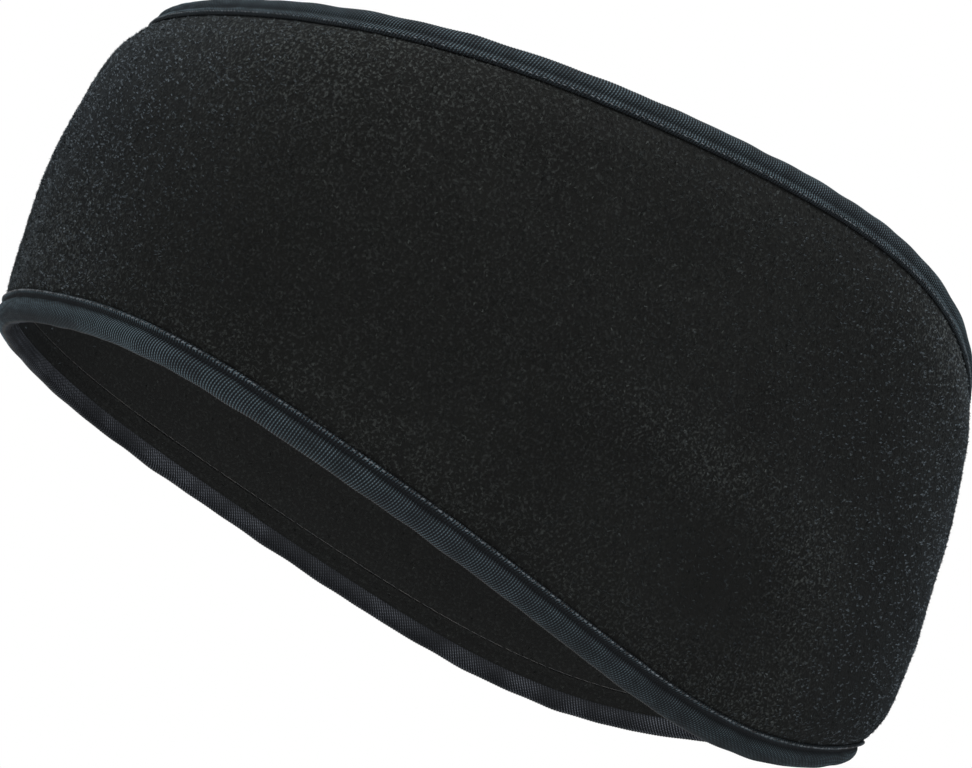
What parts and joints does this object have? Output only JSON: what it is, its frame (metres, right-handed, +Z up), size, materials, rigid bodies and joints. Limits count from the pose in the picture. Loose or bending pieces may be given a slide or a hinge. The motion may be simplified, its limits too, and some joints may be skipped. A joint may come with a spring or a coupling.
{
  "type": "microfleece headband",
  "caption": "Wide black fleece headband in its worn form, taller over the ears, with ribbed tape folded over both edges.",
  "frame": {"origin": "the middle of the loop, where the head sits", "axes": "+Z up along the loop's axis towards the crown, -Y to the forehead, +Y to the back of the head, +X to the wearer's left ear"},
  "size_m": [0.164, 0.1995, 0.1018],
  "materials": {
    "microfleece": "black microfleece with a short, dense pile",
    "ribbed_tape": "blue-black ribbed knit tape with matching stitches"
  },
  "bodies": {
    "root": {"fleece_band": "microfleece", "upper_binding": "ribbed_tape", "lower_binding": "ribbed_tape"}
  },
  "joints": []
}
